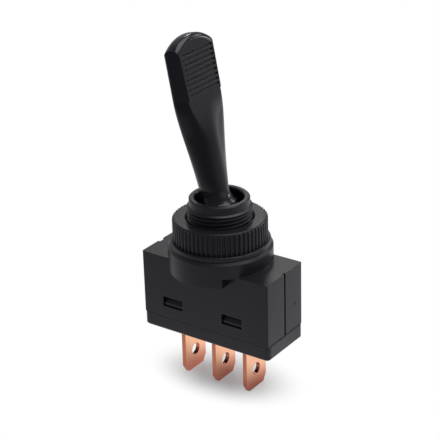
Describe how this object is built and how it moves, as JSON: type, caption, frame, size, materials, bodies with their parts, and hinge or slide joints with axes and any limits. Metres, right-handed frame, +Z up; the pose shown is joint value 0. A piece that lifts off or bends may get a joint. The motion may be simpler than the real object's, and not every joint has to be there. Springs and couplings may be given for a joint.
{
  "type": "toggle switch",
  "caption": "Panel toggle switch with a long flat ribbed lever, threaded bush with knurled ring nut, slim black body and three copper blade terminals.",
  "frame": {"origin": "centre of the collar's top face, the seat that meets the back of a panel, on the bush axis", "axes": "+Z up the bush towards the lever, +X along the body's long side and the way the lever swings, +Y across the body"},
  "size_m": [0.0272, 0.0188, 0.0648],
  "materials": {
    "housing_plastic": "satin black moulding",
    "base_plastic": "satin black moulding",
    "lever_plastic": "satin black moulding",
    "nut_plastic": "satin black moulding",
    "plunger_plastic": "natural acetal",
    "copper": "bright stamped copper",
    "contact_silver": "silver contact",
    "steel": "bright drawn steel"
  },
  "bodies": {
    "frame": {"housing": "housing_plastic", "base": "base_plastic", "terminal_left": "copper", "terminal_centre": "copper", "terminal_right": "copper", "fixed_contact_left": "contact_silver", "fixed_contact_right": "contact_silver"},
    "lever": {"lever": "lever_plastic", "pivot_pin": "steel", "spring": "steel"},
    "plunger": {"plunger": "plunger_plastic"},
    "rocker": {"rocker": "copper", "rocker_contact_left": "contact_silver", "rocker_contact_right": "contact_silver"},
    "nut": {"ring_nut": "nut_plastic"}
  },
  "joints": [
    {"name": "lever_tilt", "type": "hinge", "parent": "frame", "child": "lever", "pos_m": [0, 0, 0.00407], "axis": [0, 1, 0], "range_deg": [0, 21]},
    {"name": "plunger_slide", "type": "slide", "parent": "lever", "child": "plunger", "axis": [-0.1822, 0, 0.9833], "range_m": [0, 0.0006], "stiffness_N_per_m": 300, "springref_m": -0.002, "deforming": ["spring"]},
    {"name": "rocker_tilt", "type": "hinge", "parent": "frame", "child": "rocker", "pos_m": [0, 0, -0.0122], "axis": [0, 1, 0], "range_deg": [-16.01, 0]},
    {"name": "nut_turn", "type": "hinge", "parent": "frame", "child": "nut", "pos_m": [0, 0, 0.00255], "axis": [0, 0, 1], "continuous": true}
  ],
  "couplings": [
    {"joint": "rocker_tilt", "follows": "lever_tilt", "ratio": -0.76191}
  ]
}
